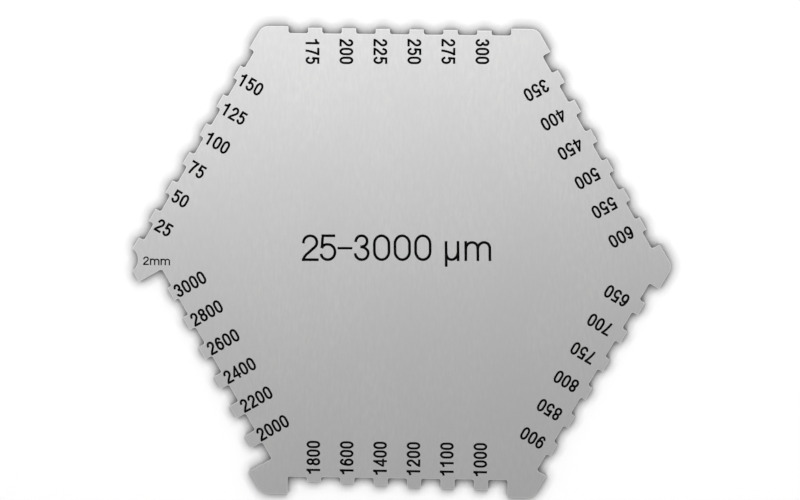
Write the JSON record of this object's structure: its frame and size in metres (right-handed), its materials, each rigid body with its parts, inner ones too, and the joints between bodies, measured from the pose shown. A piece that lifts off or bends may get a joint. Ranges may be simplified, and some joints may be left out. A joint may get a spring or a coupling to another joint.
{
  "type": "wet film thickness gauge",
  "caption": "Flat hexagonal stainless steel gauge with stepped teeth along each side, for reading the thickness of wet paint films.",
  "frame": {"origin": "middle of the back face, where the lines between opposite corners of the hexagon cross", "axes": "+Z out of the numbered face, +Y towards the middle of the side that reads 175 to 300, +X towards the plain corner opposite the round notch"},
  "size_m": [0.0739, 0.065, 0.001],
  "materials": {
    "plate": "brushed stainless steel sheet, fine straight grain along Y",
    "print": "thin matt black ink printed on the numbered face: the tooth numbers and the range"
  },
  "bodies": {
    "root": {"gauge_plate": "plate"}
  },
  "joints": []
}
